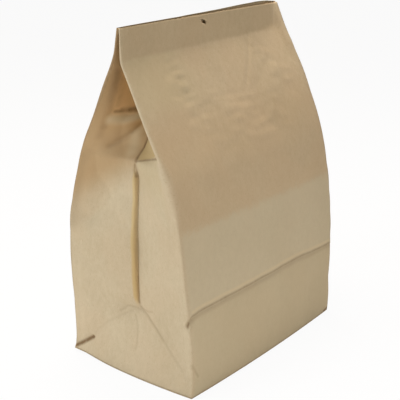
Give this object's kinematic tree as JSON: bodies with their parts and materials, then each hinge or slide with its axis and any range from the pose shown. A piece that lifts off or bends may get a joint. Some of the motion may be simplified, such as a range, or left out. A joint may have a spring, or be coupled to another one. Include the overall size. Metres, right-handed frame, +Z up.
{
  "type": "gusseted paper bag",
  "caption": "Brown kraft paper bag with side gussets and a folded square bottom, standing with its mouth pinched nearly flat, made to collect paper shreds.",
  "frame": {"origin": "middle of the base, on the surface that the bag stands on", "axes": "+Z up from the base to the mouth, +X along the front panel, -Y out of the front panel"},
  "size_m": [0.3122, 0.1981, 0.4165],
  "materials": {
    "kraft": "matt"
  },
  "bodies": {
    "root": {"paper_bag": "kraft"}
  },
  "joints": []
}
